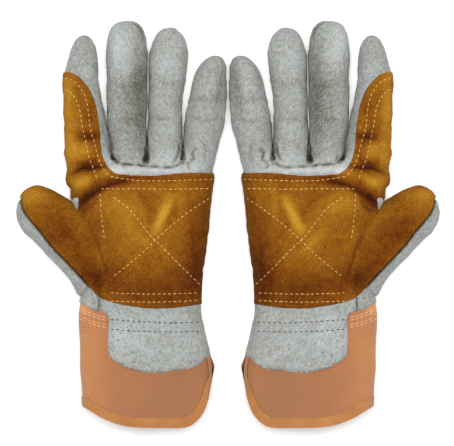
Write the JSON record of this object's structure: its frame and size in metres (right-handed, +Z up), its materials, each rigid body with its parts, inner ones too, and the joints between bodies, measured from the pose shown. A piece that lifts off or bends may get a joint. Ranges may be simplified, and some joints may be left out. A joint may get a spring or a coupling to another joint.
{
  "type": "pair of gardening gloves",
  "caption": "Pair of split-leather gardening gloves lying palm up, with gold palm, index and thumb patches, rubberised cloth cuffs bound at the hem, and folds in every finger.",
  "frame": {"origin": "under the middle of the pair, on the surface that the backs of the gloves lie on", "axes": "+X from the left-hand glove to the right-hand glove, which lie with their little fingers together; +Y from the cuffs towards the fingertips; +Z up out of the palms"},
  "size_m": [0.279, 0.27, 0.0343],
  "materials": {
    "grey_leather": "napped split leather",
    "gold_leather": "napped split leather, worn darker in the folds",
    "cuff_cloth": "rubberised twill",
    "hem_tape": "woven tape",
    "lining_cloth": "brushed cotton",
    "elastic": "ribbed elastic"
  },
  "bodies": {
    "left_hand": {"left_palm_leather": "grey_leather", "left_back_leather": "grey_leather", "left_palm_patch": "gold_leather", "left_palm_lining": "lining_cloth", "left_wrist_elastic": "elastic"},
    "left_index_base": {"left_index_base_front": "grey_leather", "left_index_base_back": "grey_leather", "left_index_patch_base": "gold_leather"},
    "left_index_tip": {"left_index_tip_front": "grey_leather", "left_index_tip_back": "grey_leather", "left_index_patch_tip": "gold_leather"},
    "left_middle_base": {"left_middle_base_front": "grey_leather", "left_middle_base_back": "grey_leather"},
    "left_middle_tip": {"left_middle_tip_front": "grey_leather", "left_middle_tip_back": "grey_leather"},
    "left_ring_base": {"left_ring_base_front": "grey_leather", "left_ring_base_back": "grey_leather"},
    "left_ring_tip": {"left_ring_tip_front": "grey_leather", "left_ring_tip_back": "grey_leather"},
    "left_little_base": {"left_little_base_front": "grey_leather", "left_little_base_back": "grey_leather"},
    "left_little_tip": {"left_little_tip_front": "grey_leather", "left_little_tip_back": "grey_leather"},
    "left_thumb_base": {"left_thumb_base_front": "gold_leather", "left_thumb_base_back": "grey_leather"},
    "left_thumb_tip": {"left_thumb_tip_front": "gold_leather", "left_thumb_tip_back": "grey_leather"},
    "left_cuff": {"left_cuff_cloth": "cuff_cloth", "left_hem_tape": "hem_tape", "left_wrist_patch": "grey_leather"},
    "right_hand": {"right_palm_leather": "grey_leather", "right_back_leather": "grey_leather", "right_palm_patch": "gold_leather", "right_palm_lining": "lining_cloth", "right_wrist_elastic": "elastic"},
    "right_index_base": {"right_index_base_front": "grey_leather", "right_index_base_back": "grey_leather", "right_index_patch_base": "gold_leather"},
    "right_index_tip": {"right_index_tip_front": "grey_leather", "right_index_tip_back": "grey_leather", "right_index_patch_tip": "gold_leather"},
    "right_middle_base": {"right_middle_base_front": "grey_leather", "right_middle_base_back": "grey_leather"},
    "right_middle_tip": {"right_middle_tip_front": "grey_leather", "right_middle_tip_back": "grey_leather"},
    "right_ring_base": {"right_ring_base_front": "grey_leather", "right_ring_base_back": "grey_leather"},
    "right_ring_tip": {"right_ring_tip_front": "grey_leather", "right_ring_tip_back": "grey_leather"},
    "right_little_base": {"right_little_base_front": "grey_leather", "right_little_base_back": "grey_leather"},
    "right_little_tip": {"right_little_tip_front": "grey_leather", "right_little_tip_back": "grey_leather"},
    "right_thumb_base": {"right_thumb_base_front": "gold_leather", "right_thumb_base_back": "grey_leather"},
    "right_thumb_tip": {"right_thumb_tip_front": "gold_leather", "right_thumb_tip_back": "grey_leather"},
    "right_cuff": {"right_cuff_cloth": "cuff_cloth", "right_hem_tape": "hem_tape", "right_wrist_patch": "grey_leather"}
  },
  "joints": [
    {"name": "pair_apart", "type": "slide", "parent": "left_hand", "child": "right_hand", "axis": [1, 0, 0], "range_m": [0, 0.15]},
    {"name": "left_index_root_fold", "type": "hinge", "parent": "left_hand", "child": "left_index_base", "pos_m": [-0.0934, 0.047, 0.028], "axis": [1, 0, 0], "range_deg": [0, 75]},
    {"name": "left_index_middle_fold", "type": "hinge", "parent": "left_index_base", "child": "left_index_tip", "pos_m": [-0.0967, 0.082, 0.0244], "axis": [1, 0, 0], "range_deg": [0, 75]},
    {"name": "left_middle_root_fold", "type": "hinge", "parent": "left_hand", "child": "left_middle_base", "pos_m": [-0.0659, 0.047, 0.028], "axis": [1, 0, 0], "range_deg": [0, 75]},
    {"name": "left_middle_middle_fold", "type": "hinge", "parent": "left_middle_base", "child": "left_middle_tip", "pos_m": [-0.0675, 0.087, 0.0246], "axis": [1, 0, 0], "range_deg": [0, 75]},
    {"name": "left_ring_root_fold", "type": "hinge", "parent": "left_hand", "child": "left_ring_base", "pos_m": [-0.0427, 0.047, 0.028], "axis": [1, 0, 0], "range_deg": [0, 75]},
    {"name": "left_ring_middle_fold", "type": "hinge", "parent": "left_ring_base", "child": "left_ring_tip", "pos_m": [-0.0413, 0.084, 0.0208], "axis": [1, 0, 0], "range_deg": [0, 75]},
    {"name": "left_little_root_fold", "type": "hinge", "parent": "left_hand", "child": "left_little_base", "pos_m": [-0.0194, 0.047, 0.028], "axis": [1, 0, 0], "range_deg": [0, 75]},
    {"name": "left_little_middle_fold", "type": "hinge", "parent": "left_little_base", "child": "left_little_tip", "pos_m": [-0.014, 0.076, 0.0233], "axis": [1, 0, 0], "range_deg": [0, 75]},
    {"name": "left_thumb_root_fold", "type": "hinge", "parent": "left_hand", "child": "left_thumb_base", "pos_m": [-0.1013, -0.018, 0.029], "axis": [-0.0905, 0.9959, 0], "range_deg": [0, 60]},
    {"name": "left_thumb_middle_fold", "type": "hinge", "parent": "left_thumb_base", "child": "left_thumb_tip", "pos_m": [-0.11898, 0.00478, 0.0245], "axis": [0.7133, 0.7009, 0], "range_deg": [0, 60]},
    {"name": "left_cuff_fold", "type": "hinge", "parent": "left_hand", "child": "left_cuff", "pos_m": [-0.058, -0.0567, 0.0348], "axis": [-1, 0, 0], "range_deg": [0, 45]},
    {"name": "right_index_root_fold", "type": "hinge", "parent": "right_hand", "child": "right_index_base", "pos_m": [0.0934, 0.047, 0.028], "axis": [1, 0, 0], "range_deg": [0, 75]},
    {"name": "right_index_middle_fold", "type": "hinge", "parent": "right_index_base", "child": "right_index_tip", "pos_m": [0.0967, 0.082, 0.0244], "axis": [1, 0, 0], "range_deg": [0, 75]},
    {"name": "right_middle_root_fold", "type": "hinge", "parent": "right_hand", "child": "right_middle_base", "pos_m": [0.0659, 0.047, 0.028], "axis": [1, 0, 0], "range_deg": [0, 75]},
    {"name": "right_middle_middle_fold", "type": "hinge", "parent": "right_middle_base", "child": "right_middle_tip", "pos_m": [0.0675, 0.087, 0.0246], "axis": [1, 0, 0], "range_deg": [0, 75]},
    {"name": "right_ring_root_fold", "type": "hinge", "parent": "right_hand", "child": "right_ring_base", "pos_m": [0.0427, 0.047, 0.028], "axis": [1, 0, 0], "range_deg": [0, 75]},
    {"name": "right_ring_middle_fold", "type": "hinge", "parent": "right_ring_base", "child": "right_ring_tip", "pos_m": [0.0413, 0.084, 0.0208], "axis": [1, 0, 0], "range_deg": [0, 75]},
    {"name": "right_little_root_fold", "type": "hinge", "parent": "right_hand", "child": "right_little_base", "pos_m": [0.0194, 0.047, 0.028], "axis": [1, 0, 0], "range_deg": [0, 75]},
    {"name": "right_little_middle_fold", "type": "hinge", "parent": "right_little_base", "child": "right_little_tip", "pos_m": [0.014, 0.076, 0.0233], "axis": [1, 0, 0], "range_deg": [0, 75]},
    {"name": "right_thumb_root_fold", "type": "hinge", "parent": "right_hand", "child": "right_thumb_base", "pos_m": [0.1013, -0.018, 0.029], "axis": [-0.0905, -0.9959, 0], "range_deg": [0, 60]},
    {"name": "right_thumb_middle_fold", "type": "hinge", "parent": "right_thumb_base", "child": "right_thumb_tip", "pos_m": [0.11898, 0.00478, 0.0245], "axis": [0.7133, -0.7009, 0], "range_deg": [0, 60]},
    {"name": "right_cuff_fold", "type": "hinge", "parent": "right_hand", "child": "right_cuff", "pos_m": [0.058, -0.0567, 0.0348], "axis": [-1, 0, 0], "range_deg": [0, 45]}
  ]
}
